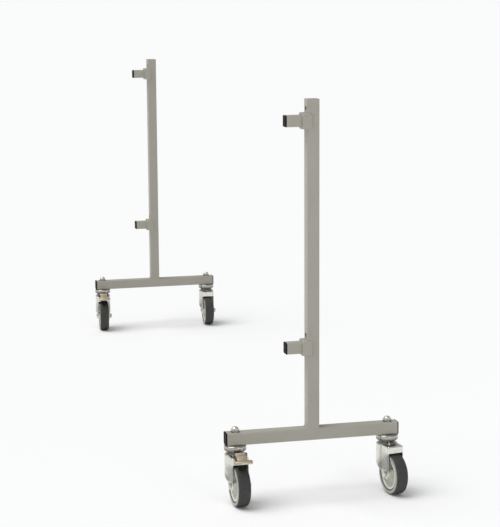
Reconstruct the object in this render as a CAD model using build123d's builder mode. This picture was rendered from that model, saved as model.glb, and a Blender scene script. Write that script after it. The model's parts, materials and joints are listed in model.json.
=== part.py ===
from build123d import *
import os
from math import cos, radians, sin

# Transport dolly: two inverted-T end frames, each on two swivel castors, with a pair of
# square spigots on each upright that plug into the end of the load they carry between them.
# Millimetres. +Z is up, X runs along the base tubes, Y from the front frame to the rear one,
# and the origin is on the floor under the middle of the pair.

os.makedirs("parts", exist_ok=True)

# Frame tubes
tube_width = 30.0
tube_wall = 2.0
tube_corner = 3.0
base_length = 430.0  # over its end caps
upright_length = 788.0  # from the top of the base tube, over its cap
frame_spacing = 2100.0  # between the middles of the two base tubes

# Caps in the tube ends
cap_head = 3.0
cap_depth = 14.0
cap_clearance = 0.15
cap_edge = 1.2
upright_cap_height = 2.5

# Spigots, collars and pin holes on the upright
spigot_width = 27.0
spigot_wall = 2.0
spigot_corner = 2.5
spigot_reach = 52.0  # from the upright to the end of its cap
spigot_drop = 51.0  # from the top of the upright to the upper spigot
spigot_spacing = 540.0
collar_wall = 4.5  # either side of the upright
collar_length = 12.0  # out from the upright
collar_grip = 10.5  # along the sides of the upright
collar_corner = 10.0
collar_edge = 2.0
collar_clearance = 0.1
pin_hole_diameter = 12.0
pin_hole_rise = 28.5  # above each spigot

# Wheels
wheel_diameter = 100.0
tyre_width = 32.0
tyre_shoulder = 6.0
rim_diameter = 74.0
rim_thickness = 6.0
rim_width = 28.0
web_thickness = 7.0
hub_diameter = 26.0
hub_length = 35.0
hub_gap = 1.0  # from each end of the hub to the fork
core_round = 2.0

# Axles
axle_diameter = 8.0
axle_head_width = 13.0
axle_head_height = 5.3
axle_nut_height = 6.5
axle_end = 1.5  # thread beyond the nut
axle_clearance = 0.1
sleeve_diameter = 12.0
running_clearance = 0.05  # of every shaft that turns in a bore, on the radius

# Forks
castor_inset = 25.0  # from the end of the base tube to the swivel axis
trail = 36.0  # from the swivel axis to the axle
fork_sheet = 2.5
crown_overhang = 5.0  # of the round crown beyond each leg
crown_crease = 3.0  # radius where the crown meets the legs
fork_front_corner = 4.0
fork_top_round = 3.0
axle_boss_radius = 11.0
crown_gap = 17.5  # from the tyre to the underside of the crown
apron_gap = 3.5  # from the tyre to the lower edge of the front apron
back_wall_height = 32.0

# Swivel heads
lower_race_diameter = 40.0
lower_race_height = 10.0
race_gap = 1.5
top_race_diameter = 54.0
top_race_height = 10.5
top_race_lip = 2.0
top_race_lip_width = 4.0
top_race_round = 1.5
ball_diameter = 6.0
ball_circle = 28.0
ball_count = 12
ball_seat = 0.05
ball_clearance = 0.35
bush_diameter = 16.0

# Castor bolts, washers and dome nuts
bolt_diameter = 10.0
bolt_clearance = 0.2
bolt_head_width = 17.0
bolt_head_height = 6.5
bolt_flange_diameter = 26.0
bolt_flange_thickness = 2.5
bolt_play = 0.5  # from the flange to the underside of the crown
bolt_end = 2.0  # into the dome of the nut
washer_diameter = 22.0
washer_thickness = 2.0
nut_width = 19.0
nut_height = 5.0
dome_height = 6.0

# Brake pedals
pedal_pin_diameter = 5.0
pedal_pin_rise = 6.5  # above the crown
pedal_pin_setback = 6.0  # from the front of the fork
pedal_pin_head_diameter = 8.0
pedal_pin_head = 1.5
ear_sheet = 2.5
ear_radius = 5.0
ear_gap = 0.4
barrel_diameter = 10.0
barrel_length = 26.0
pedal_sheet = 2.5
pedal_arm_width = 24.0
pedal_reach = 39.0  # from the pin to the front edge
pedal_rise = 3.0  # of the arm over the pin
pedal_fall = 10.0  # of the arm to the tread
pedal_lip = 5.5
pedal_bend = 4.0
tread_width = 42.0
tread_length = 16.0
tread_flat = 14.0  # from the foot of the arm to the front edge
tread_corner = 5.0
shoe_width = 20.0
shoe_length = 12.0
shoe_setback = 11.0  # from the pin
shoe_gap = 6.0  # from the tyre

# How far each wheel has swung towards +X from straight behind its swivel axis, in degrees
swivel = {"front_left": 2.5, "front_right": 9.0, "rear_left": -5.0, "rear_right": -3.0}

# Heights and places that follow from the sizes above
wheel_radius = wheel_diameter / 2
crown_under = wheel_diameter + crown_gap
crown_top = crown_under + fork_sheet
lower_race_top = crown_top + lower_race_height
top_race_under = lower_race_top + race_gap
ball_level = (lower_race_top + top_race_under) / 2
base_under = top_race_under + top_race_height
base_top = base_under + tube_width
upright_top = base_top + upright_length
spigot_levels = (upright_top - spigot_drop - spigot_spacing, upright_top - spigot_drop)
collar_width = tube_width + 2 * collar_wall
apron_under = wheel_diameter + apron_gap
back_wall_under = crown_top - back_wall_height
fork_inside = hub_length + 2 * hub_gap
fork_width = fork_inside + 2 * fork_sheet
crown_radius = fork_width / 2 + crown_overhang
fork_front = trail + axle_boss_radius
fork_bottom = wheel_radius - axle_boss_radius
pedal_pin_y = pedal_pin_setback - fork_front
pedal_pin_z = crown_top + pedal_pin_rise
ear_inside = barrel_length / 2 + ear_gap

# The pair is centred between the front of the front wheels and the back of the rear castors
front_reach = trail + wheel_radius
back_reach = max(top_race_diameter / 2, crown_radius, tube_width / 2)
middle = (front_reach - back_reach) / 2
frames = {"front": middle - frame_spacing / 2, "rear": middle + frame_spacing / 2}
pivots = {"left": castor_inset - base_length / 2, "right": base_length / 2 - castor_inset}


def keep(piece, node):
    """Names a finished piece and writes it out."""
    piece.part.label = node
    export_step(piece.part, f"parts/{node}.step")


def hexagon_across_flats(width):
    """A hexagon sketched at the current place."""
    RegularPolygon(width / 2, 6, major_radius=False)


# Places on a castor: its floor plane has +X along the axle and -Y the way the wheel trails


def castor_plane(x, y, angle):
    """The floor plane under a castor's swivel axis."""
    turn = radians(angle)
    return Plane(origin=(x, y, 0), x_dir=(cos(turn), sin(turn), 0), z_dir=(0, 0, 1))


def side_plane(castor):
    """The castor seen along its axle: sketch X is castor Y and sketch Y is height."""
    return Plane(origin=castor.origin, x_dir=castor.y_dir, z_dir=castor.x_dir)


def swivel_section(castor):
    """A half section through the swivel axis: sketch X is radius and sketch Y is height."""
    return Plane(origin=castor.origin, x_dir=castor.x_dir, z_dir=-castor.y_dir)


def axle_section(castor):
    """A half section through the axle: sketch X runs along it and sketch Y is radius."""
    centre = castor.from_local_coords((0, -trail, wheel_radius))
    return Plane(origin=centre, x_dir=castor.x_dir, z_dir=-castor.y_dir)


def swivel_axis(castor):
    return Axis(castor.origin, castor.z_dir)


def axle_axis(castor):
    return Axis(axle_section(castor).origin, castor.x_dir)


def axle_plane(castor, along):
    """A plane square to the axle, at a distance along it from the wheel's middle."""
    centre = castor.from_local_coords((along, -trail, wheel_radius))
    return Plane(origin=centre, x_dir=castor.y_dir, z_dir=castor.x_dir)


# Frame pieces


def make_base_tube(frame, y):
    """Square tube along X, drilled through for the two castor bolts."""
    tube_length = base_length - 2 * cap_head
    start = Plane(origin=(-tube_length / 2, y, base_under + tube_width / 2), x_dir=(0, 1, 0), z_dir=(1, 0, 0))
    with BuildPart() as base_tube:
        with BuildSketch(start):
            RectangleRounded(tube_width, tube_width, tube_corner)
            inside = tube_width - 2 * tube_wall
            RectangleRounded(inside, inside, max(tube_corner - tube_wall, tube_wall / 4), mode=Mode.SUBTRACT)
        extrude(amount=tube_length)
        with BuildSketch(Plane.XY.offset(base_under)):
            with Locations(*[(x, y) for x in pivots.values()]):
                Circle(bolt_diameter / 2 + bolt_clearance)
        extrude(amount=tube_width, mode=Mode.SUBTRACT)
    keep(base_tube, f"{frame}_base_tube")


def make_plug(seat, width, wall, corner):
    """A plug seated on a tube's end: a head with a softened rim, and a body inside the tube."""
    body_width = width - 2 * wall - 2 * cap_clearance
    with BuildPart() as plug:
        with BuildSketch(seat):
            RectangleRounded(width, width, corner)
        extrude(amount=cap_head)
        rim = plug.faces().sort_by(Axis(seat.origin, seat.z_dir))[-1].edges()
        fillet(rim, min(cap_edge, cap_head / 2))
        with BuildSketch(seat):
            RectangleRounded(body_width, body_width, max(corner - wall, wall / 4))
        extrude(amount=cap_head - cap_depth)
    return plug.part


def make_base_end_caps(frame, y):
    """Moulded plugs that close the two ends of the base tube."""
    level = base_under + tube_width / 2
    seat_x = base_length / 2 - cap_head
    left_seat = Plane(origin=(-seat_x, y, level), x_dir=(0, 1, 0), z_dir=(-1, 0, 0))
    right_seat = Plane(origin=(seat_x, y, level), x_dir=(0, 1, 0), z_dir=(1, 0, 0))
    left_plug = make_plug(left_seat, tube_width, tube_wall, tube_corner)
    right_plug = make_plug(right_seat, tube_width, tube_wall, tube_corner)
    with BuildPart() as base_end_caps:
        add(left_plug)
        add(right_plug)
    keep(base_end_caps, f"{frame}_base_end_caps")


def make_upright_tube(frame, y):
    """Square tube that stands on the middle of the base tube, with a pin hole over each spigot."""
    with BuildPart() as upright_tube:
        with BuildSketch(Plane.XY.offset(base_top)):
            with Locations((0, y)):
                RectangleRounded(tube_width, tube_width, tube_corner)
                inside = tube_width - 2 * tube_wall
                RectangleRounded(inside, inside, max(tube_corner - tube_wall, tube_wall / 4), mode=Mode.SUBTRACT)
        extrude(amount=upright_length - upright_cap_height)
        with BuildSketch(Plane.YZ.offset(-tube_width / 2)):
            with Locations(*[(y, level + pin_hole_rise) for level in spigot_levels]):
                Circle(pin_hole_diameter / 2)
        extrude(amount=tube_width / 2, mode=Mode.SUBTRACT)
    keep(upright_tube, f"{frame}_upright_tube")


def make_upright_cap(frame, y):
    """Plate that closes the top of the upright, with a softened top edge."""
    with BuildPart() as upright_cap:
        with BuildSketch(Plane.XY.offset(upright_top - upright_cap_height)):
            with Locations((0, y)):
                RectangleRounded(tube_width, tube_width, tube_corner)
        extrude(amount=upright_cap_height)
        fillet(upright_cap.faces().sort_by(Axis.Z)[-1].edges(), min(cap_edge, upright_cap_height / 2))
    keep(upright_cap, f"{frame}_upright_cap")


def spigot_plane(y, level, out):
    """A plane that faces -X, at a distance out from the face of the upright."""
    return Plane(origin=(-tube_width / 2 - out, y, level), x_dir=(0, -1, 0), z_dir=(-1, 0, 0))


def make_spigot(frame, name, y, level):
    """Square tube that stands out of the upright towards -X."""
    with BuildPart() as spigot:
        with BuildSketch(spigot_plane(y, level, 0)):
            RectangleRounded(spigot_width, spigot_width, spigot_corner)
            inside = spigot_width - 2 * spigot_wall
            RectangleRounded(inside, inside, max(spigot_corner - spigot_wall, spigot_wall / 4), mode=Mode.SUBTRACT)
        extrude(amount=spigot_reach - cap_head)
    keep(spigot, f"{frame}_{name}_spigot")


def make_spigot_collars(frame, y):
    """Square stop collars round the spigots, each notched to grip the sides of the upright."""
    hole = spigot_width + 2 * collar_clearance
    notch = tube_width + 2 * collar_clearance
    with BuildPart() as spigot_collars:
        for level in spigot_levels:
            with BuildSketch(spigot_plane(y, level, -collar_grip)):
                RectangleRounded(collar_width, collar_width, collar_corner)
            collar = extrude(amount=collar_grip + collar_length)
            fillet(collar.faces().sort_by(Axis.X)[0].edges(), min(collar_edge, collar_wall / 2))
            with BuildSketch(spigot_plane(y, level, 0)):
                RectangleRounded(hole, hole, spigot_corner)
            extrude(amount=collar_length, mode=Mode.SUBTRACT)
        with BuildSketch(Plane.XY.offset(base_top)):
            with Locations((0, y)):
                RectangleRounded(notch, notch, tube_corner)
        extrude(amount=upright_length, mode=Mode.SUBTRACT)
    keep(spigot_collars, f"{frame}_spigot_collars")


def make_spigot_end_caps(frame, y):
    """Moulded plugs in the free ends of the spigots."""
    seats = [spigot_plane(y, level, spigot_reach - cap_head) for level in spigot_levels]
    plugs = [make_plug(seat, spigot_width, spigot_wall, spigot_corner) for seat in seats]
    with BuildPart() as spigot_end_caps:
        add(plugs)
    keep(spigot_end_caps, f"{frame}_spigot_end_caps")


# Pieces that hold the castors to the base tube


def make_castor_bolts(frame, castors):
    """Flanged hexagon bolts that come up through the swivel heads and the base tube."""
    flange_top = crown_under - bolt_play
    flange_under = flange_top - bolt_flange_thickness
    shank_end = base_top + washer_thickness + nut_height + bolt_end
    with BuildPart() as castor_bolts:
        for castor in castors:
            with BuildSketch(castor.offset(flange_under)):
                hexagon_across_flats(bolt_head_width)
            extrude(amount=-bolt_head_height)
            with BuildSketch(castor.offset(flange_under)):
                Circle(bolt_flange_diameter / 2)
            extrude(amount=bolt_flange_thickness)
            with BuildSketch(castor.offset(flange_top)):
                Circle(bolt_diameter / 2)
            extrude(amount=shank_end - flange_top)
    keep(castor_bolts, f"{frame}_castor_bolts")


def make_castor_washers(frame, castors):
    """Plain washers on top of the base tube."""
    with BuildPart() as castor_washers:
        for castor in castors:
            with BuildSketch(castor.offset(base_top)):
                Circle(washer_diameter / 2)
                Circle(bolt_diameter / 2 + bolt_clearance, mode=Mode.SUBTRACT)
            extrude(amount=washer_thickness)
    keep(castor_washers, f"{frame}_castor_washers")


def make_castor_dome_nuts(frame, castors):
    """Low dome nuts on the washers, bored blind for the bolts."""
    seat = base_top + washer_thickness
    dome_foot = seat + nut_height
    with BuildPart() as castor_dome_nuts:
        for castor in castors:
            with BuildSketch(castor.offset(seat)):
                hexagon_across_flats(nut_width)
            extrude(amount=nut_height)
            with BuildSketch(swivel_section(castor)):
                with BuildLine():
                    dome = EllipticalCenterArc((0, dome_foot), nut_width / 2, dome_height, start_angle=0, arc_size=90)
                    Polyline(dome @ 1, (0, dome_foot), dome @ 0)
                make_face()
            revolve(axis=swivel_axis(castor))
            with BuildSketch(castor.offset(seat)):
                Circle(bolt_diameter / 2 + axle_clearance)
            extrude(amount=nut_height + bolt_end + bolt_clearance, mode=Mode.SUBTRACT)
    keep(castor_dome_nuts, f"{frame}_castor_dome_nuts")


def make_castor_top_races(frame, castors):
    """Upper ball races under the base tube, each with the bush that the fork turns on."""
    race_radius = top_race_diameter / 2
    bush_end = crown_under - bolt_play
    with BuildPart() as castor_top_races:
        for castor in castors:
            with BuildSketch(castor.offset(top_race_under - top_race_lip)):
                Circle(race_radius)
            race = extrude(amount=top_race_height + top_race_lip)
            fillet(race.edges().filter_by(GeomType.CIRCLE), min(top_race_round, top_race_lip_width / 3))
            with BuildSketch(castor.offset(top_race_under - top_race_lip)):
                Circle(race_radius - top_race_lip_width)
            extrude(amount=top_race_lip, mode=Mode.SUBTRACT)
            with BuildSketch(swivel_section(castor)):
                with Locations((ball_circle / 2, ball_level)):
                    Circle(ball_diameter / 2 + ball_clearance)
            revolve(axis=swivel_axis(castor), mode=Mode.SUBTRACT)
            with BuildSketch(castor.offset(bush_end)):
                Circle(bush_diameter / 2)
            extrude(amount=top_race_under - bush_end)
            with BuildSketch(castor.offset(bush_end)):
                Circle(bolt_diameter / 2 + bolt_clearance)
            extrude(amount=base_under - bush_end, mode=Mode.SUBTRACT)
    keep(castor_top_races, f"{frame}_castor_top_races")


# Castor pieces


def make_fork(name, castor, braked):
    """Pressed fork: round crown, front apron and two flat tapering legs, with the lower ball race."""
    with BuildPart() as fork:
        with BuildSketch(castor.offset(fork_bottom)) as plan:
            Circle(crown_radius)
            with Locations((0, -fork_front / 2)):
                Rectangle(fork_width, fork_front)
            fillet(plan.vertices().group_by(Axis.Y)[1], crown_crease)
            fillet(plan.vertices().group_by(Axis.Y)[0], fork_front_corner)
        extrude(amount=crown_top - fork_bottom)
        fillet(fork.faces().sort_by(Axis.Z)[-1].edges(), fork_top_round)
        with BuildSketch(castor.offset(fork_bottom)):
            add(plan.sketch_local)
            offset(amount=-fork_sheet)
        extrude(amount=crown_under - fork_bottom, mode=Mode.SUBTRACT)
        with BuildSketch(castor.offset(fork_bottom)):
            with Locations((0, -fork_front)):
                Rectangle(fork_inside, 2 * (fork_front_corner + fork_sheet))
        extrude(amount=apron_under - fork_bottom, mode=Mode.SUBTRACT)
        with BuildSketch(side_plane(castor)):
            Polygon(
                (crown_radius, crown_top),
                (-fork_front, crown_top),
                (-fork_front, apron_under),
                (crown_radius, back_wall_under),
                align=None,
            )
            with Locations((-trail, wheel_radius)):
                Circle(axle_boss_radius)
            make_hull()
        extrude(amount=fork_width, both=True, mode=Mode.INTERSECT)
        with BuildSketch(castor.offset(crown_under)):
            Circle(lower_race_diameter / 2)
        extrude(amount=lower_race_top - crown_under)
        with BuildSketch(swivel_section(castor)):
            with Locations((ball_circle / 2, ball_level)):
                Circle(ball_diameter / 2 + ball_seat)
        revolve(axis=swivel_axis(castor), mode=Mode.SUBTRACT)
        with BuildSketch(castor.offset(crown_under)):
            Circle(bush_diameter / 2 + running_clearance)
        extrude(amount=lower_race_top - crown_under, mode=Mode.SUBTRACT)
        with BuildSketch(axle_plane(castor, 0)):
            Circle(axle_diameter / 2 + axle_clearance)
        extrude(amount=fork_width, both=True, mode=Mode.SUBTRACT)
        if braked:
            for side in (-1, 1):
                with BuildSketch(side_plane(castor).offset(side * ear_inside)):
                    with Locations((pedal_pin_y, pedal_pin_z)):
                        Circle(ear_radius)
                    with Locations((pedal_pin_y, (crown_top + crown_under) / 2)):
                        Rectangle(2 * ear_radius, fork_sheet)
                    make_hull()
                    with Locations((pedal_pin_y, pedal_pin_z)):
                        Circle(pedal_pin_diameter / 2, mode=Mode.SUBTRACT)
                extrude(amount=side * ear_sheet)
    keep(fork, f"{name}_fork")


def make_swivel_balls(name, castor):
    """Ring of balls between the fork and the top race."""
    with BuildPart(castor.offset(ball_level)) as swivel_balls:
        with PolarLocations(ball_circle / 2, ball_count):
            Sphere(ball_diameter / 2)
    keep(swivel_balls, f"{name}_swivel_balls")


def make_axle_bolt(name, castor):
    """Hexagon bolt through the fork's legs, its head at the castor's -X side."""
    shank_length = fork_width + axle_nut_height + axle_end
    with BuildPart() as axle_bolt:
        with BuildSketch(axle_plane(castor, -fork_width / 2)):
            hexagon_across_flats(axle_head_width)
        extrude(amount=-axle_head_height)
        with BuildSketch(axle_plane(castor, -fork_width / 2)):
            Circle(axle_diameter / 2)
        extrude(amount=shank_length)
    keep(axle_bolt, f"{name}_axle_bolt")


def make_axle_nut(name, castor):
    """Hexagon nut on the axle bolt."""
    with BuildPart() as axle_nut:
        with BuildSketch(axle_plane(castor, fork_width / 2)):
            hexagon_across_flats(axle_head_width)
            Circle(axle_diameter / 2 + axle_clearance, mode=Mode.SUBTRACT)
        extrude(amount=axle_nut_height)
    keep(axle_nut, f"{name}_axle_nut")


def make_axle_sleeve(name, castor):
    """Steel tube on the axle bolt, clamped between the legs, that the wheel turns on."""
    with BuildPart() as axle_sleeve:
        with BuildSketch(axle_plane(castor, -fork_inside / 2)):
            Circle(sleeve_diameter / 2)
            Circle(axle_diameter / 2 + axle_clearance, mode=Mode.SUBTRACT)
        extrude(amount=fork_inside)
    keep(axle_sleeve, f"{name}_axle_sleeve")


def make_wheel_core(name, castor):
    """Moulded wheel centre: a hub, a web and a rim."""
    bore_radius = sleeve_diameter / 2 + running_clearance
    hub_radius = hub_diameter / 2
    rim_radius = rim_diameter / 2
    with BuildPart() as wheel_core:
        with BuildSketch(axle_section(castor)) as section:
            with Locations((0, (bore_radius + hub_radius) / 2)):
                Rectangle(hub_length, hub_radius - bore_radius)
            with Locations((0, (bore_radius + rim_radius) / 2)):
                Rectangle(web_thickness, rim_radius - bore_radius)
            with Locations((0, rim_radius - rim_thickness / 2)):
                Rectangle(rim_width, rim_thickness)
            fillet(section.vertices().filter_by_position(Axis.Y, bore_radius + 1, rim_radius - 1), core_round)
        revolve(axis=axle_axis(castor))
    keep(wheel_core, f"{name}_wheel_core")


def make_tyre(name, castor):
    """Solid rubber tyre with a rounded tread, bonded to the rim."""
    depth = (wheel_diameter - rim_diameter) / 2
    with BuildPart() as tyre:
        with BuildSketch(axle_section(castor)) as section:
            with Locations((0, wheel_radius - depth / 2)):
                Rectangle(tyre_width, depth)
            fillet(section.vertices().group_by(Axis.Y)[-1], min(tyre_shoulder, 0.9 * depth, 0.45 * tyre_width))
        revolve(axis=axle_axis(castor))
    keep(tyre, f"{name}_tyre")


# Brake pieces


def make_pedal_pin(name, castor):
    """Headed pin through the fork's ears, which the pedal turns on."""
    ear_outside = ear_inside + ear_sheet
    with BuildPart() as pedal_pin:
        with BuildSketch(side_plane(castor)):
            with Locations((pedal_pin_y, pedal_pin_z)):
                Circle(pedal_pin_diameter / 2)
        extrude(amount=ear_outside, both=True)
        for side in (-1, 1):
            with BuildSketch(side_plane(castor).offset(side * ear_outside)):
                with Locations((pedal_pin_y, pedal_pin_z)):
                    Circle(pedal_pin_head_diameter / 2)
            extrude(amount=side * pedal_pin_head)
    keep(pedal_pin, f"{name}_pedal_pin")


def make_brake_pedal(name, castor):
    """Pressed pedal: a barrel on the pin, a sloping arm and a wide flat tread with a turned-down lip."""
    arm_start = (pedal_pin_y, pedal_pin_z + pedal_rise)
    arm_foot = (pedal_pin_y - pedal_reach + tread_flat, arm_start[1] - pedal_fall)
    front_edge = (pedal_pin_y - pedal_reach, arm_foot[1])
    lip_end = (front_edge[0], front_edge[1] - pedal_lip)
    arm_length = pedal_reach + pedal_sheet
    with BuildPart() as brake_pedal:
        with BuildSketch(side_plane(castor)):
            with BuildLine():
                FilletPolyline(arm_start, arm_foot, front_edge, lip_end, radius=pedal_bend)
            trace(line_width=pedal_sheet)
        extrude(amount=tread_width / 2, both=True)
        with BuildSketch(castor):
            with Locations((0, pedal_pin_y - arm_length / 2)):
                Rectangle(pedal_arm_width, arm_length)
            with Locations((0, pedal_pin_y - arm_length + tread_length / 2)):
                RectangleRounded(tread_width, tread_length, tread_corner)
        extrude(amount=2 * pedal_pin_z, mode=Mode.INTERSECT)
        with BuildSketch(side_plane(castor)):
            with Locations((pedal_pin_y, pedal_pin_z)):
                Circle(barrel_diameter / 2)
        extrude(amount=barrel_length / 2, both=True)
        with BuildSketch(side_plane(castor)):
            with Locations((pedal_pin_y, pedal_pin_z)):
                Circle(pedal_pin_diameter / 2 + running_clearance)
        extrude(amount=barrel_length, both=True, mode=Mode.SUBTRACT)
    keep(brake_pedal, f"{name}_brake_pedal")
    return brake_pedal


def make_brake_shoe(name, castor, brake_pedal):
    """Block under the pedal's arm, hollowed to the tyre."""
    slope = pedal_fall / (pedal_reach - tread_flat)
    arm_level = pedal_pin_z + pedal_rise
    near = pedal_pin_y - shoe_setback
    far = near - shoe_length
    with BuildPart() as brake_shoe:
        with BuildSketch(side_plane(castor)):
            Polygon(
                (near, arm_level - slope * shoe_setback),
                (far, arm_level - slope * (shoe_setback + shoe_length)),
                (far, wheel_radius),
                (near, wheel_radius),
                align=None,
            )
            with Locations((-trail, wheel_radius)):
                Circle(wheel_radius + shoe_gap, mode=Mode.SUBTRACT)
        extrude(amount=shoe_width / 2, both=True)
        add(brake_pedal.part, mode=Mode.SUBTRACT)
    keep(brake_shoe, f"{name}_brake_shoe")


# The whole dolly: the two frames are alike, and each has its brake on the -X castor
for frame, y in frames.items():
    make_base_tube(frame, y)
    make_base_end_caps(frame, y)
    make_upright_tube(frame, y)
    make_upright_cap(frame, y)
    for name, level in zip(("lower", "upper"), spigot_levels):
        make_spigot(frame, name, y, level)
    make_spigot_collars(frame, y)
    make_spigot_end_caps(frame, y)
    castors = {f"{frame}_{side}": castor_plane(x, y, swivel[f"{frame}_{side}"]) for side, x in pivots.items()}
    make_castor_bolts(frame, castors.values())
    make_castor_washers(frame, castors.values())
    make_castor_dome_nuts(frame, castors.values())
    make_castor_top_races(frame, castors.values())
    for name, castor in castors.items():
        braked = name.endswith("left")
        make_fork(name, castor, braked)
        make_swivel_balls(name, castor)
        make_axle_bolt(name, castor)
        make_axle_nut(name, castor)
        make_axle_sleeve(name, castor)
        make_wheel_core(name, castor)
        make_tyre(name, castor)
        if braked:
            make_pedal_pin(name, castor)
            brake_pedal = make_brake_pedal(name, castor)
            make_brake_shoe(name, castor, brake_pedal)
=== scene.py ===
"""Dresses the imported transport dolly: finishes for its tubes, castors and plugs, and modelled hardware."""

import json
import math
from functools import partial

import bmesh
import bpy
from bpy.props import FloatProperty, FloatVectorProperty, IntProperty, PointerProperty
from mathutils import Matrix, Vector


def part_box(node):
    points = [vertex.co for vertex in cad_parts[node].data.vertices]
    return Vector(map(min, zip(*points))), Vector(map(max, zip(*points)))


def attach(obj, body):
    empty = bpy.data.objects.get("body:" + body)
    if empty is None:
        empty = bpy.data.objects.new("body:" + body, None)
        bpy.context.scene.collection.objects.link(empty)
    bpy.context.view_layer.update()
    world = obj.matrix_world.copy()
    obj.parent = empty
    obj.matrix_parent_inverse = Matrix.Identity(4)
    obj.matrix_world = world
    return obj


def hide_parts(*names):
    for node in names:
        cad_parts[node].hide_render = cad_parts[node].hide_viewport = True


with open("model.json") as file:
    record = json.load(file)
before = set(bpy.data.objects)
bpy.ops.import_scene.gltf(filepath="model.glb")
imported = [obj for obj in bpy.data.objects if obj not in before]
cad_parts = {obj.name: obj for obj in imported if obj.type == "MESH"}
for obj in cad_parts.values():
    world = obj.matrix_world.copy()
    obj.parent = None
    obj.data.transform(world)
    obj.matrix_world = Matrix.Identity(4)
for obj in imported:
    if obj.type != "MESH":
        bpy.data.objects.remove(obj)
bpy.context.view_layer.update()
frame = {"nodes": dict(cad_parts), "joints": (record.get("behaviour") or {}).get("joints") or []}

bl_info = {
    "name": "Transport Dolly",
    "version": (1, 0, 0),
    "blender": (4, 5, 0),
    "location": "3D View > Sidebar > Dolly",
    "description": "Builds the finishes and the hardware of a transport dolly on castors",
    "category": "Object",
}

MM = 0.001
QUARTER_TURN = math.pi / 2
# Points closer together than this are one point
SAME_PLACE = 1e-6
# An edge that folds more sharply than this is shaded as an edge
SHARP_FOLD = math.radians(32)
# An edge of the pressed pedal that folds more sharply than this is rounded
PRESSED_FOLD = math.radians(60)

FRAMES = ("front", "rear")
CASTORS = ("front_left", "front_right", "rear_left", "rear_right")
BRAKED = ("front_left", "rear_left")
JOINTS = {joint["name"]: joint for joint in frame["joints"]}

# Heights over the floor, the same at every castor
AXLE = JOINTS["front_left_wheel_spin"]["pos_m"][2]
CROWN = JOINTS["front_left_swivel"]["pos_m"][2]
TUBE_FOOT, TUBE_TOP = (corner.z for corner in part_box("front_base_tube"))


def linear(hex_colour):
    """An sRGB hex colour as linear red, green and blue, with full alpha."""
    channels = [int(hex_colour[i : i + 2], 16) / 255 for i in (1, 3, 5)]
    return (*(c / 12.92 if c <= 0.04045 else ((c + 0.055) / 1.055) ** 2.4 for c in channels), 1.0)


def colour(name, description, hex_colour):
    return FloatVectorProperty(
        name=name, description=description, subtype="COLOR", size=4, min=0, max=1, default=linear(hex_colour)
    )


def length(name, description, millimetres):
    return FloatProperty(name=name, description=description, unit="LENGTH", min=0, default=millimetres * MM)


def count(name, description, number):
    return IntProperty(name=name, description=description, min=3, default=number)


def amount(name, description, value):
    return FloatProperty(name=name, description=description, min=0, default=value)


def angle(name, description, degrees):
    return FloatProperty(name=name, description=description, subtype="ANGLE", default=math.radians(degrees))


def point(name, description, metres):
    return FloatVectorProperty(name=name, description=description, subtype="TRANSLATION", default=metres)


class DollyColours(bpy.types.PropertyGroup):
    """Colours of the dolly's finishes."""

    coat: colour("Powder coat", "Putty grey of the tubes", "#A09D91")
    coat_pale: colour("Powder coat, pale", "Where the coat is a little thicker", "#AAA79C")
    scuff: colour("Scuffs", "Where handling has rubbed the coat", "#8B887E")
    zinc: colour("Bright zinc", "Plating of the forks, races and fasteners", "#E6E6E2")
    zinc_warm: colour("Bright zinc, warm", "Faint yellow cast in the plating", "#DCDACE")
    # Grease, which also paints the shade between the ball races and round the nuts' feet
    grease_and_shade: colour("Grease", "Film on the plating round the ball races", "#5E5C57")
    # Floor dust with painted shade: a darker reflection on the fork's legs
    leg_dust_and_shade: colour("Leg dust", "Floor dust on the fork's legs", "#7C7E77")
    yellow_zinc: colour("Yellow zinc", "Passivated plating of the pedals", "#D9CFBF")
    yellow_zinc_deep: colour("Yellow zinc, deep", "Deeper patches of the plating", "#CABAA1")
    tread: colour("Tyre tread", "Dark grey where the tyre runs", "#313230")
    tread_dust: colour("Tyre dust", "Floor dust that rolls into the tread", "#4A4A46")
    # Painted light: the sides of the tyre are paler, as if lit from the side
    sidewall: colour("Tyre sidewall", "Paler bloom on the sides of the tyre", "#ADABA4")
    moulding: colour("Wheel moulding", "Light grey of the wheel centres", "#DCDDD3")
    plug: colour("Plug", "Black of the end plugs and brake shoes", "#101111")
    floor: colour("Floor", "Pale floor that the dolly stands on", "#FCFCFC")
    sky: colour("Sky", "Light from all round", "#F8F9FA")


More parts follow.
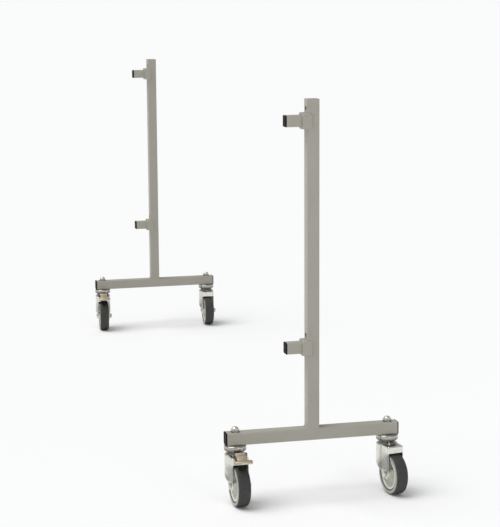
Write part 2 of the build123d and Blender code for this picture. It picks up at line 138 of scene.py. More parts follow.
class DollySizes(bpy.types.PropertyGroup):
    """Sizes of the modelled pieces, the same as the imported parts' where they fit them."""

    turn_steps: count("Turned steps", "Facets round a turned piece", 96)
    wheel_diameter: length("Wheel diameter", "Over the tread", 100)
    tyre_width: length("Tyre width", "Over the sidewalls", 32)
    tyre_shoulder: length("Tyre shoulder", "Rounding of the tread's edges", 6)
    rim_diameter: length("Rim diameter", "Seat of the tyre", 74)
    groove_depth: length("Groove depth", "Step in the sidewall beside the rim", 1.8)
    groove_width: length("Groove width", "Foot of the step in the sidewall", 2.4)
    groove_slope: length("Groove slope", "Rise of the step's slanted side", 1.44)
    highlight_width: length("Bloom width", "Over which the sidewall's bloom fades into the tread", 1.6)
    fork_width: length("Fork width", "Over the legs, where the axle is clamped", 42)
    axle_diameter: length("Axle diameter", "Shank of the axle bolt", 8)
    axle_head_width: length("Axle head width", "Across the flats of the head and the nut", 13)
    axle_head_height: length("Axle head height", "Of the bolt's head", 5.3)
    axle_nut_height: length("Axle nut height", "Of the nut", 6.5)
    axle_end: length("Axle end", "Thread beyond the nut", 1.5)
    thread_pitch: length("Thread pitch", "Pitch of the axle bolts", 1.25)
    thread_depth: length("Thread depth", "Depth of the axle bolts' thread", 0.6)
    head_chamfer: length("Head chamfer", "Corner turned off hexagon heads", 0.9)
    cap_nut_width: length("Cap nut width", "Across the flats", 19)
    cap_nut_height: length("Cap nut height", "Of the hexagon", 5)
    cap_nut_dome: length("Cap nut dome", "Radius of the dome at its foot", 8.8)
    race_diameter: length("Race diameter", "Over the upper race", 54)
    race_lip: length("Race lip", "Depth of the lip over the lower race", 2)
    race_lip_width: length("Race lip width", "Thickness of the lip", 4)
    race_round: length("Race rounding", "Rounding of the pressed rim", 3.5)
    race_bore: length("Race bore", "For the castor bolt", 10.4)
    bush_diameter: length("Bush diameter", "Bush that the fork turns on", 16)
    ball_circle: length("Ball circle", "Diameter of the ring of balls", 28)
    ball_groove: length("Ball groove", "Width of the groove for the balls", 6.8)
    ball_rise: length("Ball rise", "Depth of the groove for the balls", 2.7)
    tube_corner: length("Tube corner", "Rounding of the tubes' edges", 3)
    weld_radius: length("Weld radius", "Radius of the weld beads", 3)
    weld_pitch: length("Weld pitch", "Spacing of the ripples", 1.6)
    weld_end: length("Weld end", "Bare length at each end of a bead", 0.9)
    pedal_sheet: length("Pedal sheet", "Thickness of the pedal", 2.5)
    pedal_arm_width: length("Pedal arm width", "Across the arm", 24)
    pedal_reach: length("Pedal reach", "From the pin to the front of the tread", 39)
    pedal_root: length("Pedal root", "From the pin to the end of the arm, inside the barrel", 3.25)
    pedal_rise: length("Pedal rise", "Of the arm over the pin", 3)
    pedal_fall: length("Pedal fall", "Of the arm to the tread", 10)
    pedal_lip: length("Pedal lip", "Depth of the turned-down lip", 5.5)
    pedal_lip_corner: length("Pedal lip corner", "Rounding of the lip's corners", 1.35)
    pedal_bend: length("Pedal bend", "Radius of the bends", 4)
    pedal_edge: length("Pedal edge", "Rounding of the pressed edges", 0.6)
    tread_width: length("Tread width", "Across the pedal's tread", 42)
    tread_flat: length("Tread flat", "From the foot of the arm to the front", 14)
    tread_corner: length("Tread corner", "Rounding of the tread's corners", 5)
    barrel_diameter: length("Barrel diameter", "Roll round the pedal's pin", 10)
    barrel_length: length("Barrel length", "Between the fork's ears", 26)
    barrel_bore: length("Barrel bore", "For the pedal's pin", 5.2)


class DollyStage(bpy.types.PropertyGroup):
    """Floor, light and camera."""

    floor_reach: length("Floor reach", "From the middle of the floor to its edges", 300_000)
    sky_strength: amount("Sky strength", "Light from all round", 0.47)
    sun_strength: amount("Sun strength", "Large soft light from the upper left", 1.95)
    sun_size: angle("Sun size", "Width of the soft light", 50)
    sun_from: FloatVectorProperty(
        name="Sun from",
        description="Direction that the soft light comes from",
        subtype="DIRECTION",
        default=(-0.48, 0.03, 0.876),
    )
    lamp_power: amount("Lamp power", "Small lamp low at the front right, in watts", 5.0)
    lamp_size: length("Lamp size", "Side of the square lamp", 450)
    lamp_place: point("Lamp place", "Low at the front right", (0.75, -3.5, 0.8))
    lamp_aim: point("Lamp aim", "At the front castors", (0.0, -1.04, 0.2))
    camera_place: point("Camera place", "At chest height", (-1.0492, -4.7432, 1.2304))
    camera_heading: angle("Camera heading", "From +Y towards +X", 13.569)
    camera_pitch: angle("Camera pitch", "Below the horizon", 9.679)
    camera_roll: angle("Camera roll", "Clockwise tilt of the camera", 0.37)
    camera_lens: amount("Camera lens", "Focal length in millimetres", 113.08)
    camera_reach: length("Camera reach", "How far the camera sees", 500_000)


# Materials

# A Mix node that mixes two colours
COLOUR_MIX = {"output": "Result", "data_type": "RGBA"}
# Where nearly all of a noise pattern's values lie
NOISE_RANGE = {"From Min": 0.3, "From Max": 0.7}


def add_node(tree, kind, inputs=None, output=0, **settings):
    """Adds a node with its settings, sets or links its inputs, and gives back one of its outputs."""
    node = tree.nodes.new(f"ShaderNode{kind}")
    for key, value in settings.items():
        setattr(node, key, value)
    for key, value in (inputs or {}).items():
        if isinstance(value, bpy.types.NodeSocket):
            tree.links.new(value, node.inputs[key])
        else:
            node.inputs[key].default_value = value
    return node.outputs[output]


def new_material(name, shader_values):
    """A material with values on its shader's own sockets."""
    material = bpy.data.materials.new(name)
    material.use_nodes = True
    sockets = material.node_tree.nodes["Principled BSDF"].inputs
    for key, value in shader_values.items():
        sockets[key].default_value = value
    return material


def start_pattern(material):
    """A function that adds nodes to a material, and the Object coordinates in metres for its patterns."""
    node = partial(add_node, material.node_tree)
    return node, node("TexCoord", output="Object")


def finish_pattern(material, tint, gloss, relief):
    """Links a colour, a roughness and a bump to a material's shader."""
    tree = material.node_tree
    sockets = tree.nodes["Principled BSDF"].inputs
    for key, output in (("Base Color", tint), ("Roughness", gloss), ("Normal", relief)):
        tree.links.new(output, sockets[key])


def make_powder_coat(colours):
    """Polyester powder coat on steel tube, sprayed and baked: satin, with a faint orange peel and scuffs."""
    material = new_material("powder_coated_steel", {"Metallic": 0.0, "Roughness": 0.42, "IOR": 1.5})
    node, place = start_pattern(material)
    # Thickness of the coat drifts over a hand's width, which lightens it in clouds
    clouds = node("TexNoise", {"Vector": place, "Scale": 1 / (70 * MM), "Detail": 2})
    coat = node("Mix", {"Factor": clouds, "A": colours.coat, "B": colours.coat_pale}, **COLOUR_MIX)
    # Scuffs from handling: sparse short streaks that are duller and a little darker
    streaks = node("TexNoise", {"Vector": place, "Scale": 1 / (14 * MM), "Detail": 5, "Roughness": 0.7})
    wear = node("MapRange", {"Value": streaks, "From Min": 0.62, "From Max": 0.74, "To Max": 0.6})
    tint = node("Mix", {"Factor": wear, "A": coat, "B": colours.scuff}, **COLOUR_MIX)
    gloss = node("MapRange", {"Value": streaks, **NOISE_RANGE, "To Min": 0.36, "To Max": 0.52})
    # Orange peel is about 1.5 mm across; it is drawn at 4 mm so that it shows
    peel = node("TexNoise", {"Vector": place, "Scale": 1 / (4 * MM), "Detail": 1})
    relief = node("Bump", {"Height": peel, "Strength": 0.12, "Distance": 0.2 * MM})
    finish_pattern(material, tint, gloss, relief)
    return material


def band(node, value, start, full, fade, end):
    """A factor that rises from start to full, stays at 1 and falls again from fade to end."""
    rising = node("MapRange", {"Value": value, "From Min": start, "From Max": full})
    falling = node("MapRange", {"Value": value, "From Min": end, "From Max": fade})
    return node("Math", {0: rising, 1: falling}, operation="MULTIPLY")


def dust_and_shade_on_legs(node, place, along, height):
    """Factor for floor dust and painted shade, which grey a fork's legs towards the wheel, but not round the
    axle.
    """
    front, rear = (JOINTS[f"{name}_left_swivel"]["pos_m"][1] for name in FRAMES)
    half = (rear - front) / 2
    # Distance behind the swivel axis of a frame's castors, counted from halfway to the next frame
    shifted = node("Math", {0: along, 1: half - front}, operation="ADD")
    behind = node("Math", {0: shifted, 1: 2 * half}, operation="FLOORED_MODULO")
    # The dust and painted shade end in a ragged edge, not along a line
    clouds = node("TexNoise", {"Vector": place, "Scale": 1 / (22 * MM), "Detail": 4, "Roughness": 0.6})
    ragged = node("MapRange", {"Value": clouds, **NOISE_RANGE, "To Min": -16 * MM, "To Max": 16 * MM})
    slanted = node("Math", {0: height, 1: behind}, operation="ADD")
    edge = node("Math", {0: slanted, 1: ragged}, operation="ADD")
    fade = {"From Min": half + 88 * MM, "From Max": half + 48 * MM, "To Max": 0.8}
    near_wheel = node("MapRange", {"Value": edge, **fade})
    on_leg = band(node, height, AXLE + 2 * MM, AXLE + 12 * MM, CROWN - 22 * MM, CROWN - 14 * MM)
    return node("Math", {0: near_wheel, 1: on_leg}, operation="MULTIPLY")


def grease_and_shade_on_heads(node, height):
    """Factor for a dark film: grease and painted shade from between the ball races, and painted shade round
    the feet of the nuts.
    """
    at_races = band(node, height, CROWN + 0.2 * MM, CROWN + 1 * MM, TUBE_FOOT, TUBE_FOOT + 2 * MM)
    # Grease and painted shade thin out up the upper race
    climb = {"From Min": CROWN + 10 * MM, "From Max": CROWN + 17 * MM, "To Min": 1.0, "To Max": 0.45}
    thinning = node("MapRange", {"Value": height, **climb})
    grease_and_shade = node("Math", {0: at_races, 1: thinning}, operation="MULTIPLY")
    # Painted shade round the feet of the nuts, where they sit on the tube
    at_nuts = band(node, height, TUBE_TOP - 12 * MM, TUBE_TOP - 2 * MM, TUBE_TOP + 4 * MM, TUBE_TOP + 8 * MM)
    nut_shade = node("Math", {0: at_nuts, 1: 0.75}, operation="MULTIPLY")
    return node("Math", {0: grease_and_shade, 1: nut_shade}, operation="MAXIMUM")


def make_bright_zinc(colours):
    """Electroplated zinc on pressed steel: bright and cloudy, with grease and painted shade at the heads and
    dust and painted shade on the legs.
    """
    material = new_material("bright_zinc_plate", {"Metallic": 1.0, "Roughness": 0.3})
    node, place = start_pattern(material)
    # The plating bath leaves a faint yellow cast in clouds
    clouds = node("TexNoise", {"Vector": place, "Scale": 1 / (18 * MM), "Detail": 3})
    warmth = node("MapRange", {"Value": clouds, "From Min": 0.35, "From Max": 0.65})
    plating = node("Mix", {"Factor": warmth, "A": colours.zinc, "B": colours.zinc_warm}, **COLOUR_MIX)
    # Drawing marks run with the press, up and down; 0.3 mm marks are drawn at 1.5 mm so that they show
    stretched = node("Mapping", {"Vector": place, "Scale": (1.0, 1.0, 0.12)})
    marks = node("TexNoise", {"Vector": stretched, "Scale": 1 / (1.5 * MM), "Detail": 2})
    # Dirt and painted shade are wiped thinner in smears a few millimetres wide
    wiped = node("TexNoise", {"Vector": place, "Scale": 1 / (6 * MM), "Detail": 4, "Roughness": 0.6})
    smear = node("MapRange", {"Value": wiped, "From Min": 0.25, "From Max": 0.5, "To Min": 0.75})
    along = node("SeparateXYZ", {"Vector": place}, "Y")
    height = node("SeparateXYZ", {"Vector": place}, "Z")
    # Floor dust with painted shade on the legs
    dust = node("Math", {0: dust_and_shade_on_legs(node, place, along, height), 1: smear}, operation="MULTIPLY")
    # A dark film of grease and painted shade at the heads
    film = node("Math", {0: grease_and_shade_on_heads(node, height), 1: smear}, operation="MULTIPLY")
    dusty = node("Mix", {"Factor": dust, "A": plating, "B": colours.leg_dust_and_shade}, **COLOUR_MIX)
    tint = node("Mix", {"Factor": film, "A": dusty, "B": colours.grease_and_shade}, **COLOUR_MIX)
    dry = node("MapRange", {"Value": marks, **NOISE_RANGE, "To Min": 0.22, "To Max": 0.4})
    gloss = node("Mix", {"Factor": film, "A": dry, "B": 0.17}, "Result", data_type="FLOAT")
    relief = node("Bump", {"Height": marks, "Strength": 0.08, "Distance": 0.1 * MM})
    finish_pattern(material, tint, gloss, relief)
    return material


def make_yellow_zinc(colours):
    """Zinc plate with a yellow chromate film: a tan, slightly patchy skin, duller than the bare plating."""
    material = new_material("yellow_zinc_passivate", {"Metallic": 1.0, "Roughness": 0.45})
    node, place = start_pattern(material)
    # The chromate film takes more deeply in patches
    clouds = node("TexNoise", {"Vector": place, "Scale": 1 / (11 * MM), "Detail": 3})
    patches = node("MapRange", {"Value": clouds, "From Min": 0.35, "From Max": 0.65})
    ends = {"A": colours.yellow_zinc, "B": colours.yellow_zinc_deep}
    tint = node("Mix", {"Factor": patches, **ends}, **COLOUR_MIX)
    # Rubbing by shoes leaves marks about 0.5 mm wide, drawn at 2 mm so that they show
    rubs = node("TexNoise", {"Vector": place, "Scale": 1 / (2 * MM), "Detail": 3})
    gloss = node("MapRange", {"Value": rubs, **NOISE_RANGE, "To Min": 0.38, "To Max": 0.56})
    relief = node("Bump", {"Height": rubs, "Strength": 0.1, "Distance": 0.1 * MM})
    finish_pattern(material, tint, gloss, relief)
    return material


def make_rubber(colours):
    """Cured rubber: a matt tread with floor dust in it, and smoother sidewalls made paler with painted light.
    """
    material = new_material("grey_tyre_rubber", {"Metallic": 0.0, "Roughness": 0.6, "IOR": 1.52})
    node, place = start_pattern(material)
    # Floor dust sticks to the tread in patches
    drift = node("TexNoise", {"Vector": place, "Scale": 1 / (9 * MM), "Detail": 6, "Roughness": 0.65})
    dust = node("MapRange", {"Value": drift, "From Min": 0.45, "From Max": 0.75, "To Max": 0.7})
    dusty = node("Mix", {"Factor": dust, "A": colours.tread, "B": colours.tread_dust}, **COLOUR_MIX)
    # The sidewall's paler colour is painted light
    side = node("Attribute", output="Fac", attribute_name="sidewall")
    tint = node("Mix", {"Factor": side, "A": dusty, "B": colours.sidewall}, **COLOUR_MIX)
    # The mould was polished at the sides, and the tread is scrubbed dull
    polish = node("MapRange", {"Value": side, "To Min": 0.66, "To Max": 0.42})
    patchy = node("MapRange", {"Value": drift, **NOISE_RANGE, "To Min": -0.08, "To Max": 0.08})
    gloss = node("Math", {0: polish, 1: patchy}, operation="ADD")
    # The grain of the mould is about 0.3 mm across; it is drawn at 1.2 mm so that it shows
    grain = node("TexNoise", {"Vector": place, "Scale": 1 / (1.2 * MM), "Detail": 2})
    relief = node("Bump", {"Height": grain, "Strength": 0.2, "Distance": 0.15 * MM})
    finish_pattern(material, tint, gloss, relief)
    return material


def make_plastic(name, clean, roughness, sheen, grain_mm, shade):
    """Injection-moulded plastic: an even colour with a spark-eroded grain and faint greasy marks."""
    values = {"Metallic": 0.0, "Roughness": roughness, "IOR": 1.49, "Specular IOR Level": sheen}
    material = new_material(name, values)
    node, place = start_pattern(material)
    # Handling leaves smears about a fingertip wide
    smears = node("TexNoise", {"Vector": place, "Scale": 1 / (16 * MM), "Detail": 4})
    handled = (*(channel * shade for channel in clean[:3]), 1.0)
    tint = node("Mix", {"Factor": smears, "A": clean, "B": handled}, **COLOUR_MIX)
    limits = {"To Min": roughness - 0.08, "To Max": roughness + 0.1}
    gloss = node("MapRange", {"Value": smears, **NOISE_RANGE, **limits})
    # A spark-eroded grain is about 0.2 mm across; it is drawn coarser so that it shows
    grain = node("TexNoise", {"Vector": place, "Scale": 1 / (grain_mm * MM), "Detail": 1})
    relief = node("Bump", {"Height": grain, "Strength": 0.15, "Distance": 0.1 * MM})
    finish_pattern(material, tint, gloss, relief)
    return material


def make_wheel_plastic(colours):
    """Polypropylene of the wheel centres, with a soft shine."""
    return make_plastic(
        "moulded_polypropylene", colours.moulding, roughness=0.42, sheen=0.5, grain_mm=1.5, shade=0.86
    )


def make_black_plastic(colours):
    """Polyethylene of the plugs and brake shoes, nearly matt."""
    return make_plastic(
        "moulded_polyethylene", colours.plug, roughness=0.72, sheen=0.2, grain_mm=1.2, shade=0.7
    )


def finishes():
    """The dolly's materials by the record's slot names, made on first use."""
    if not finishes.made:
        colours = bpy.context.scene.dolly_colours
        finishes.made = {
            "frame_paint": make_powder_coat(colours),
            "zinc_steel": make_bright_zinc(colours),
            "yellow_zinc": make_yellow_zinc(colours),
            "tyre_rubber": make_rubber(colours),
            "wheel_plastic": make_wheel_plastic(colours),
            "black_plastic": make_black_plastic(colours),
        }
    return finishes.made


finishes.made = {}


# Shapes, each in its own bmesh


def round_off(shape, geometry, radius, affect, segments):
    """Rounds corners or edges."""
    bmesh.ops.bevel(
        shape,
        geom=geometry,
        offset=radius,
        offset_type="OFFSET",
        segments=segments,
        profile=0.5,
        affect=affect,
        material=-1,
        clamp_overlap=True,
    )


def draw_out(shape, geometry, along):
    """Extrudes faces along a vector."""
    grown = bmesh.ops.extrude_face_region(shape, geom=geometry)["geom"]
    moved = [part for part in grown if isinstance(part, bmesh.types.BMVert)]
    bmesh.ops.translate(shape, verts=moved, vec=along)


def turned(profile, steps, rounded=()):
    """A shape turned about X from (along, radius) points, with (corner number, radius) for rounded corners.

    A profile that starts on the axis ends there too and is solid; any other is closed into a ring.
    """
    shape = bmesh.new()
    corners = [shape.verts.new((along, 0, radius)) for along, radius in profile]
    links = list(zip(corners, corners[1:]))
    if profile[0][1] > 0:
        links.append((corners[-1], corners[0]))
    for link in links:
        shape.edges.new(link)
    for number, radius in rounded:
        round_off(shape, [corners[number]], radius, "VERTICES", 8)
    outline = shape.verts[:] + shape.edges[:]
    bmesh.ops.spin(
        shape, geom=outline, cent=(0, 0, 0), axis=(1, 0, 0), angle=math.tau, steps=steps, use_merge=True
    )
    bmesh.ops.remove_doubles(shape, verts=shape.verts, dist=SAME_PLACE)
    return shape


def hexagon_head(width, height, chamfer):
    """A hexagon head that stands on the XY plane, with its upper edge turned off."""
    shape = bmesh.new()
    bmesh.ops.create_circle(shape, cap_ends=True, segments=6, radius=width / math.sqrt(3))
    draw_out(shape, shape.faces[:], (0, 0, height))
    top = max(shape.faces, key=lambda face: face.calc_center_median().z)
    round_off(shape, top.edges[:], chamfer, "EDGES", 2)
    return shape


def weld_bead(run, radius, pitch):
    """A rippled bead along Z, drawn in at its ends."""
    ripple_height, end_taper, taper_power = 0.05, 0.6, 6
    shape = bmesh.new()
    bmesh.ops.create_cone(shape, cap_ends=True, segments=16, radius1=radius, radius2=radius, depth=run)
    rails = [edge for edge in shape.edges if edge.calc_length() > run / 2]
    ripples = round(run / pitch)
    bmesh.ops.subdivide_edges(shape, edges=rails, cuts=2 * ripples - 1)
    for vert in shape.verts:
        along = vert.co.z / run
        swell = 1.0 + ripple_height * math.cos(math.tau * ripples * along)
        taper = 1.0 - end_taper * (2 * abs(along)) ** taper_power
        vert.co.xy *= swell * taper
    return shape


def ground_weld(run, side):
    """A weld ground flush: a square strip along X, softened at its ends."""
    softening = 0.3 * side
    shape = bmesh.new()
    bmesh.ops.create_cube(shape, size=side)
    bmesh.ops.scale(shape, vec=(run / side, 1, 1), verts=shape.verts)
    ends = [edge for edge in shape.edges if edge.verts[0].co.x * edge.verts[1].co.x > 0]
    round_off(shape, ends, softening, "EDGES", 3)
    return shape


def bend_on(shape, side, level, radius, turn, straight):
    """Bends a sheet on from its back (1) or front (-1) end at this level, then runs straight."""
    middles = [face for face in shape.faces if abs(face.calc_center_median().x) < SAME_PLACE]
    end = max(middles, key=lambda face: side * face.calc_center_median().y)
    centre = (0, end.calc_center_median().y, level + side * radius)
    grown = [*end.verts, *end.edges, end]
    bent = bmesh.ops.spin(shape, geom=grown, cent=centre, axis=(1, 0, 0), angle=turn, steps=6)
    along = side * straight * Vector((0, math.cos(turn), math.sin(turn)))
    draw_out(shape, bent["geom_last"], along)


def round_pressing(shape, corner, rim):
    """Rounds the two lowest corners of a pressed sheet, then all its sharp outer edges."""
    bmesh.ops.remove_doubles(shape, verts=shape.verts, dist=SAME_PLACE)
    bmesh.ops.recalc_face_normals(shape, faces=shape.faces)
    lowest = min(vert.co.z for vert in shape.verts)
    foot = [edge for edge in shape.edges if all(vert.co.z < lowest + SAME_PLACE for vert in edge.verts)]
    corners = [edge for edge in foot if abs(edge.verts[0].co.x - edge.verts[1].co.x) < SAME_PLACE]
    round_off(shape, corners, corner, "EDGES", 4)
    sharp = [edge for edge in shape.edges if edge.is_convex and edge.calc_face_angle() > PRESSED_FOLD]
    round_off(shape, sharp, rim, "EDGES", 2)


def pressed_sheet(sizes):
    """The pedal's sheet about its pin's axis: a flat tread, a lip bent down and an arm bent up."""
    half_arm = sizes.pedal_arm_width / 2
    half_tread = sizes.tread_width / 2
    bend = sizes.pedal_bend
    foot = sizes.pedal_reach - sizes.tread_flat
    slope = math.atan2(sizes.pedal_fall, foot)
    level = sizes.pedal_rise - sizes.pedal_fall
    back = -foot - bend * math.tan(slope / 2)
    front = bend - sizes.pedal_reach
    arm_run = (-sizes.pedal_root - back - bend * math.sin(slope)) / math.cos(slope)

    shape = bmesh.new()
    outline = [(half_arm, back), (half_tread, back), (half_tread, front)]
    outline += [(-x, y) for x, y in reversed(outline)]
    corners = [shape.verts.new((x, y, level - sizes.pedal_sheet / 2)) for x, y in outline]
    shape.faces.new(corners)
    round_off(shape, [corners[1], corners[4]], sizes.tread_corner, "VERTICES", 6)
    draw_out(shape, shape.faces[:], (0, 0, sizes.pedal_sheet))
    bend_on(shape, 1, level, bend, slope, arm_run)
    bend_on(shape, -1, level, bend, QUARTER_TURN, sizes.pedal_lip - bend)
    round_pressing(shape, sizes.pedal_lip_corner, sizes.pedal_edge)
    return shape


def join(target, source, place):
    """Puts a finished shape in its place and joins it to another."""
    bmesh.ops.transform(source, matrix=place, verts=source.verts)
    carrier = bpy.data.meshes.new("carrier")
    source.to_mesh(carrier)
    source.free()
    target.from_mesh(carrier)
    bpy.data.meshes.remove(carrier)


# Pieces


def add_object(name, data):
    """Puts a mesh, a light or a camera in the scene."""
    new = bpy.data.objects.new(name, data)
    bpy.context.scene.collection.objects.link(new)
    return new


def keep_piece(shape, name, body, slot, replaced=()):
    """Turns a finished bmesh into a piece that rides on a CAD body."""
    bmesh.ops.remove_doubles(shape, verts=shape.verts, dist=SAME_PLACE)
    bmesh.ops.recalc_face_normals(shape, faces=shape.faces)
    mesh = bpy.data.meshes.new(name)
    shape.to_mesh(mesh)
    shape.free()
    mesh.shade_smooth()
    mesh.set_sharp_from_angle(angle=SHARP_FOLD)
    mesh.materials.append(finishes()[slot])
    piece = add_object(name, mesh)
    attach(piece, body)
    if replaced:
        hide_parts(*replaced)


def hinge_place(joint_name):
    """The place of a castor's hinge: X along its axis, Y towards the fork's back, Z up."""
    joint = JOINTS[joint_name]
    across = Vector(joint["axis"]).normalized()
    up = Vector((0, 0, 1))
    turn = Matrix((across, up.cross(across), up)).transposed().to_4x4()
    return Matrix.Translation(joint["pos_m"]) @ turn


def swivel_place(name, height):
    """A place on a castor's swivel axis, with X up it."""
    x, y, _ = JOINTS[f"{name}_swivel"]["pos_m"]
    return Matrix.Translation((x, y, height)) @ Matrix.Rotation(-QUARTER_TURN, 4, "Y")


def assign(nodes, slot):
    """Gives CAD nodes a finish."""
    for name in nodes:
        mesh = frame["nodes"][name].data
        mesh.materials.clear()
        mesh.materials.append(finishes()[slot])


class DOLLY_OT_finish_frames(bpy.types.Operator):
    """Coats the tubes and collars, blacks the plugs and plates the bolts"""

    bl_idname = "dolly.finish_frames"
    bl_label = "Finish Frames"

    def execute(self, context):
        tubes = ("base_tube", "upright_tube", "upright_cap")
        spigots = ("upper_spigot", "lower_spigot", "spigot_collars")
        for name in FRAMES:
            assign([f"{name}_{piece}" for piece in (*tubes, *spigots)], "frame_paint")
            assign([f"{name}_base_end_caps", f"{name}_spigot_end_caps"], "black_plastic")
            assign([f"{name}_castor_bolts", f"{name}_castor_washers"], "zinc_steel")
        return {"FINISHED"}


class DOLLY_OT_finish_castors(bpy.types.Operator):
    """Plates the forks and their steel, and colours the wheel centres and brake shoes"""

    bl_idname = "dolly.finish_castors"
    bl_label = "Finish Castors"

    def execute(self, context):
        for name in CASTORS:
            assign([f"{name}_{piece}" for piece in ("fork", "swivel_balls", "axle_sleeve")], "zinc_steel")
            assign([f"{name}_wheel_core"], "wheel_plastic")
        for name in BRAKED:
            assign([f"{name}_pedal_pin"], "zinc_steel")
            assign([f"{name}_brake_shoe"], "black_plastic")
        return {"FINISHED"}


class DOLLY_OT_build_welds(bpy.types.Operator):
    """Lays a weld bead along each side of an upright's foot, and ground welds along its front and back"""

    bl_idname = "dolly.build_welds"
    bl_label = "Build Welds"

    def execute(self, context):
        sizes = context.scene.dolly_sizes
        corner = sizes.tube_corner
        for name in FRAMES:
            low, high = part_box(f"{name}_upright_tube")
            middle = (low + high) / 2
            run = high.y - low.y - 2 * sizes.weld_end
            shape = bmesh.new()
            for x in (low.x, high.x):
                lay = Matrix.Translation((x, middle.y, low.z)) @ Matrix.Rotation(QUARTER_TURN, 4, "X")
                join(shape, weld_bead(run, sizes.weld_radius, sizes.weld_pitch), lay)
            for y in (low.y + corner / 2, high.y - corner / 2):
                lay = Matrix.Translation((middle.x, y, low.z - corner / 2))
                join(shape, ground_weld(high.x - low.x - corner, corner), lay)
            keep_piece(shape, f"{name}_foot_welds", f"{name}_frame", "frame_paint")
        return {"FINISHED"}


class DOLLY_OT_build_tyres(bpy.types.Operator):
    """Turns the tyres, with rounded shoulders and a groove beside the rim"""

    bl_idname = "dolly.build_tyres"
    bl_label = "Build Tyres"

    def execute(self, context):
        sizes = context.scene.dolly_sizes
        half = sizes.tyre_width / 2
        seat = sizes.rim_diameter / 2
        tread = sizes.wheel_diameter / 2
        step = half - sizes.groove_depth
        groove_foot = seat + sizes.groove_width
        profile = [(half, tread), (half, groove_foot + sizes.groove_slope), (step, groove_foot), (step, seat)]
        profile += [(-along, radius) for along, radius in reversed(profile)]
        shoulders = ((0, sizes.tyre_shoulder), (len(profile) - 1, sizes.tyre_shoulder))
        for name in CASTORS:
            shape = turned(profile, sizes.turn_steps, shoulders)
            highlight = shape.verts.layers.float.new("sidewall")
            # Where the painted light on the sidewall lies, fading into the tread
            for vert in shape.verts:
                out = 1 - (half - abs(vert.co.x)) / sizes.highlight_width
                vert[highlight] = min(max(out, 0.0), 1.0)
            bmesh.ops.transform(shape, matrix=hinge_place(f"{name}_wheel_spin"), verts=shape.verts)
            keep_piece(shape, f"{name}_moulded_tyre", f"{name}_wheel", "tyre_rubber", [f"{name}_tyre"])
        return {"FINISHED"}


class DOLLY_OT_build_axle_fasteners(bpy.types.Operator):
    """Builds the axle bolts and nuts, with turned-off heads and a threaded end"""

    bl_idname = "dolly.build_axle_fasteners"
    bl_label = "Build Axle Fasteners"

    def execute(self, context):
        sizes = context.scene.dolly_sizes
        half = sizes.fork_width / 2
        shank = sizes.axle_diameter / 2
        root = shank - sizes.thread_depth
        end = half + sizes.axle_nut_height + sizes.axle_end
        turns = 4
        profile = [(-half, 0), (-half, shank)]
        for turn in range(turns, 0, -1):
            crest = end - turn * sizes.thread_pitch
            profile += [(crest, shank), (crest + sizes.thread_pitch / 2, root)]
        profile.append((end, 0))
        head_place = Matrix.Translation((-half, 0, 0)) @ Matrix.Rotation(-QUARTER_TURN, 4, "Y")
        nut_place = Matrix.Translation((half, 0, 0)) @ Matrix.Rotation(QUARTER_TURN, 4, "Y")
        width, chamfer = sizes.axle_head_width, sizes.head_chamfer
        for name in CASTORS:
            shape = turned(profile, sizes.turn_steps // 3)
            join(shape, hexagon_head(width, sizes.axle_head_height, chamfer), head_place)
            join(shape, hexagon_head(width, sizes.axle_nut_height, chamfer), nut_place)
            bmesh.ops.transform(shape, matrix=hinge_place(f"{name}_wheel_spin"), verts=shape.verts)
            replaced = [f"{name}_axle_bolt", f"{name}_axle_nut"]
            keep_piece(shape, f"{name}_axle_fastener", f"{name}_swivel_fork", "zinc_steel", replaced)
        return {"FINISHED"}


class DOLLY_OT_build_cap_nuts(bpy.types.Operator):
    """Builds the low dome nuts on top of the base tubes"""

    bl_idname = "dolly.build_cap_nuts"
    bl_label = "Build Cap Nuts"

    def execute(self, context):
        sizes = context.scene.dolly_sizes
        foot = sizes.cap_nut_height
        for name in FRAMES:
            low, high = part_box(f"{name}_castor_dome_nuts")
            crest = high.z - low.z
            profile = ((0, 0), (0, sizes.cap_nut_dome), (crest, sizes.cap_nut_dome), (crest, 0))
            shape = bmesh.new()
            for side in ("left", "right"):
                place = swivel_place(f"{name}_{side}", low.z)
                join(shape, turned(profile, sizes.turn_steps // 2, ((2, crest - foot),)), place)
                upright = place @ Matrix.Rotation(QUARTER_TURN, 4, "Y")
                join(shape, hexagon_head(sizes.cap_nut_width, foot, sizes.head_chamfer), upright)
            replaced = [f"{name}_castor_dome_nuts"]
            keep_piece(shape, f"{name}_cap_nuts", f"{name}_frame", "zinc_steel", replaced)
        return {"FINISHED"}


class DOLLY_OT_build_race_cups(bpy.types.Operator):
    """Presses the upper ball races, with a rounded rim, a lip and the bush that the fork turns on"""

    bl_idname = "dolly.build_race_cups"
    bl_label = "Build Race Cups"

    def execute(self, context):
        sizes = context.scene.dolly_sizes
        rim = sizes.race_diameter / 2
        inner_rim = rim - sizes.race_lip_width
        bore = sizes.race_bore / 2
        bush = sizes.bush_diameter / 2
        groove_in = (sizes.ball_circle - sizes.ball_groove) / 2
        groove_out = (sizes.ball_circle + sizes.ball_groove) / 2
        rounded = ((1, sizes.race_round), (2, sizes.race_round))
        for name in FRAMES:
            low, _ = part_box(f"{name}_castor_top_races")
            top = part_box(f"{name}_base_tube")[0].z - low.z
            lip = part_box(f"{name}_left_swivel_balls")[0].z - low.z
            seat = lip + sizes.race_lip
            groove_top = seat + sizes.ball_rise
            outside = ((top, bore), (top, rim), (lip, rim), (lip, inner_rim), (seat, inner_rim))
            groove_up = ((seat, groove_out), (groove_top, groove_out))
            groove_down = ((groove_top, groove_in), (seat, groove_in))
            inside = ((seat, bush), (0, bush), (0, bore))
            shape = bmesh.new()
            for side in ("left", "right"):
                cup = turned((*outside, *groove_up, *groove_down, *inside), sizes.turn_steps, rounded)
                join(shape, cup, swivel_place(f"{name}_{side}", low.z))
            replaced = [f"{name}_castor_top_races"]
            keep_piece(shape, f"{name}_race_cups", f"{name}_frame", "zinc_steel", replaced)
        return {"FINISHED"}


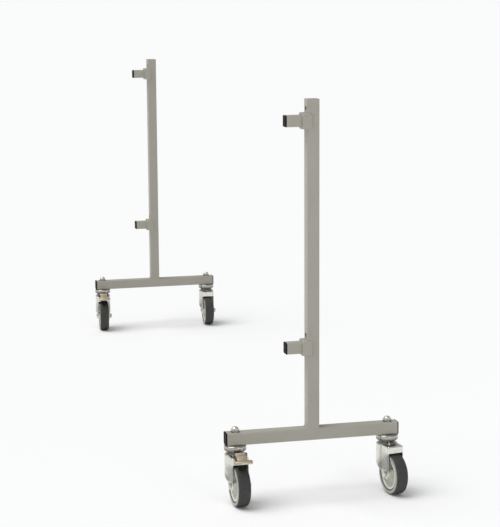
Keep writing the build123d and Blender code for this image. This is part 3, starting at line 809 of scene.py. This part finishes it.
class DOLLY_OT_build_pedals(bpy.types.Operator):
    """Presses the brake pedals: a rolled barrel, a sloping arm and a wide tread with a turned-down lip"""

    bl_idname = "dolly.build_pedals"
    bl_label = "Build Pedals"

    def execute(self, context):
        sizes = context.scene.dolly_sizes
        end = sizes.barrel_length / 2
        bore = sizes.barrel_bore / 2
        skin = sizes.barrel_diameter / 2
        barrel = ((-end, bore), (-end, skin), (end, skin), (end, bore))
        rounded = ((1, sizes.pedal_edge), (2, sizes.pedal_edge))
        for name in BRAKED:
            shape = pressed_sheet(sizes)
            join(shape, turned(barrel, sizes.turn_steps // 2, rounded), Matrix())
            bmesh.ops.transform(shape, matrix=hinge_place(f"{name}_brake_press"), verts=shape.verts)
            replaced = [f"{name}_brake_pedal"]
            keep_piece(shape, f"{name}_pressed_pedal", f"{name}_brake", "yellow_zinc", replaced)
        return {"FINISHED"}


# Stage


def lay_floor(colours, stage):
    """A pale matt floor that reaches far past the picture's edges."""
    shape = bmesh.new()
    bmesh.ops.create_grid(shape, x_segments=1, y_segments=1, size=stage.floor_reach)
    mesh = bpy.data.meshes.new("studio_floor")
    shape.to_mesh(mesh)
    shape.free()
    values = {"Roughness": 1.0, "Specular IOR Level": 0.0, "Base Color": colours.floor}
    mesh.materials.append(new_material("matt_floor_paint", values))
    floor = add_object("studio_floor", mesh)


def light_sky(scene, colours, stage):
    """An even pale sky."""
    world = bpy.data.worlds.new("studio")
    scene.world = world
    world.use_nodes = True
    sky = world.node_tree.nodes["Background"]
    sky.inputs["Color"].default_value = colours.sky
    sky.inputs["Strength"].default_value = stage.sky_strength


def hang_lights(stage):
    """A large soft sun, and a small square lamp that shines on the front castors."""
    sun = bpy.data.lights.new("soft_sun", "SUN")
    sun.energy = stage.sun_strength
    sun.angle = stage.sun_size
    sun_object = add_object("soft_sun", sun)
    sun_object.rotation_euler = Vector(stage.sun_from).to_track_quat("Z", "Y").to_euler()

    lamp = bpy.data.lights.new("front_lamp", "AREA")
    lamp.energy = stage.lamp_power
    lamp.size = stage.lamp_size
    lamp_object = add_object("front_lamp", lamp)
    lamp_object.location = stage.lamp_place
    beam = Vector(stage.lamp_aim) - Vector(stage.lamp_place)
    lamp_object.rotation_euler = beam.to_track_quat("-Z", "Y").to_euler()


def aim_camera(scene, stage):
    """The camera, turned by its heading, pitch and roll."""
    camera = bpy.data.cameras.new("camera")
    camera.lens = stage.camera_lens
    camera.clip_end = stage.camera_reach
    camera_object = add_object("camera", camera)
    camera_object.location = stage.camera_place
    aim = Matrix.Rotation(-stage.camera_heading, 3, "Z")
    aim @= Matrix.Rotation(QUARTER_TURN - stage.camera_pitch, 3, "X")
    aim @= Matrix.Rotation(-stage.camera_roll, 3, "Z")
    camera_object.rotation_euler = aim.to_euler()
    scene.camera = camera_object


class DOLLY_OT_build_stage(bpy.types.Operator):
    """Sets the floor, the light and the camera"""

    bl_idname = "dolly.build_stage"
    bl_label = "Build Stage"

    def execute(self, context):
        scene = context.scene
        scene.view_settings.view_transform = "Standard"
        lay_floor(scene.dolly_colours, scene.dolly_stage)
        light_sky(scene, scene.dolly_colours, scene.dolly_stage)
        hang_lights(scene.dolly_stage)
        aim_camera(scene, scene.dolly_stage)
        return {"FINISHED"}


class DOLLY_PT_panel(bpy.types.Panel):
    """Lists the dolly's operators"""

    bl_label = "Transport Dolly"
    bl_idname = "DOLLY_PT_panel"
    bl_space_type = "VIEW_3D"
    bl_region_type = "UI"
    bl_category = "Dolly"

    def draw(self, context):
        for operator in OPERATORS:
            self.layout.operator(operator.bl_idname)


OPERATORS = (
    DOLLY_OT_finish_frames,
    DOLLY_OT_finish_castors,
    DOLLY_OT_build_welds,
    DOLLY_OT_build_tyres,
    DOLLY_OT_build_axle_fasteners,
    DOLLY_OT_build_cap_nuts,
    DOLLY_OT_build_race_cups,
    DOLLY_OT_build_pedals,
    DOLLY_OT_build_stage,
)
GROUPS = {"dolly_colours": DollyColours, "dolly_sizes": DollySizes, "dolly_stage": DollyStage}
CLASSES = (*GROUPS.values(), *OPERATORS, DOLLY_PT_panel)


def register():
    for cls in CLASSES:
        bpy.utils.register_class(cls)
    for name, group in GROUPS.items():
        setattr(bpy.types.Scene, name, PointerProperty(type=group))


def unregister():
    for name in GROUPS:
        delattr(bpy.types.Scene, name)
    for cls in reversed(CLASSES):
        bpy.utils.unregister_class(cls)


def main():
    register()
    bpy.ops.dolly.finish_frames()
    bpy.ops.dolly.finish_castors()
    bpy.ops.dolly.build_welds()
    bpy.ops.dolly.build_tyres()
    bpy.ops.dolly.build_axle_fasteners()
    bpy.ops.dolly.build_cap_nuts()
    bpy.ops.dolly.build_race_cups()
    bpy.ops.dolly.build_pedals()
    bpy.ops.dolly.build_stage()


if __name__ == "__main__":
    main()
